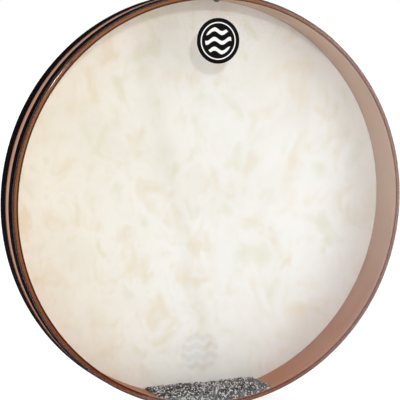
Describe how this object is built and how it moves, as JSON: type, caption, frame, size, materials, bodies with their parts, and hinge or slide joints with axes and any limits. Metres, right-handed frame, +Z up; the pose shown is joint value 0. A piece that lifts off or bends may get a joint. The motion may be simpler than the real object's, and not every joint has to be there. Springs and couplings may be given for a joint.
{
  "type": "sea drum",
  "caption": "Shallow round sea drum: bent wood shell, goat-skin rear head, clear film front head, and loose steel balls that roll inside.",
  "frame": {"origin": "middle of the drum, on the hoop's axis and half way between the two heads", "axes": "+Y along the hoop's axis from the clear film head to the goat-skin head, +Z up with the heap of balls at the bottom, +X to the right seen from the film side"},
  "size_m": [0.5587, 0.0606, 0.559],
  "materials": {
    "bent_wood": "satin",
    "goat_skin": "matte",
    "clear_film": "gloss",
    "trim_tape": "satin",
    "badge_vinyl": "satin",
    "tack_steel": "satin",
    "eyelet_steel": "satin",
    "plug_rubber": "matte",
    "ball_steel": "polished"
  },
  "bodies": {
    "drum": {"shell": "bent_wood", "rear_skin": "goat_skin", "rear_skin_edge": "goat_skin", "skin_tacks": "tack_steel", "rear_trim_tape": "trim_tape", "front_film": "clear_film", "front_film_edge": "clear_film", "front_trim_tape": "trim_tape", "front_badge": "badge_vinyl", "eyelet": "eyelet_steel", "eyelet_washer": "eyelet_steel"},
    "ball_charge": {"steel_balls": "ball_steel"},
    "plug": {"fill_plug": "plug_rubber"}
  },
  "joints": [
    {"name": "ball_roll", "type": "hinge", "parent": "drum", "child": "ball_charge", "pos_m": [0, 0, 0], "axis": [0, 1, 0], "continuous": true},
    {"name": "plug_pull", "type": "slide", "parent": "drum", "child": "plug", "axis": [0.0523, 0, 0.9986], "range_m": [0, 0.014]}
  ]
}
